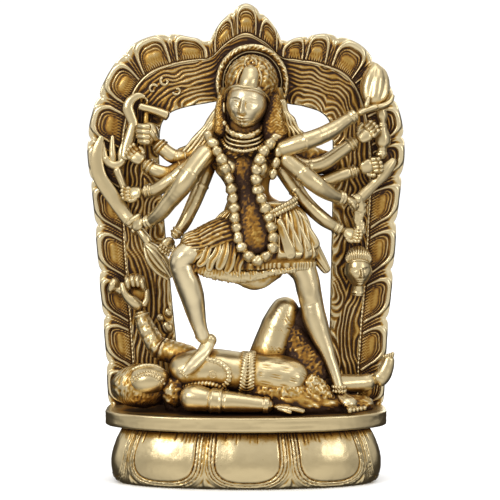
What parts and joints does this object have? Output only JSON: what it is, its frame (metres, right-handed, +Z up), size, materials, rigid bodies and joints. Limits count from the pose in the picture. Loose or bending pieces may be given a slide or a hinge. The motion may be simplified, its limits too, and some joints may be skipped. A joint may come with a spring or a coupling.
{
  "type": "kali figure",
  "caption": "Small cast brass temple figure: a goddess with many arms stands on a lying god before a petal-edged arch, on a deck over a lotus base.",
  "frame": {"origin": "middle of the base's underside", "axes": "+Z up to the arch's tip, the front faces -Y, +X is to the right in the picture"},
  "size_m": [0.1414, 0.0537, 0.2094],
  "materials": {
    "antique_brass": "cast brass, rubbed bright on the raised forms, with a brown patina left in the hollows"
  },
  "bodies": {
    "root": {"kali_figure": "antique_brass"}
  },
  "joints": []
}
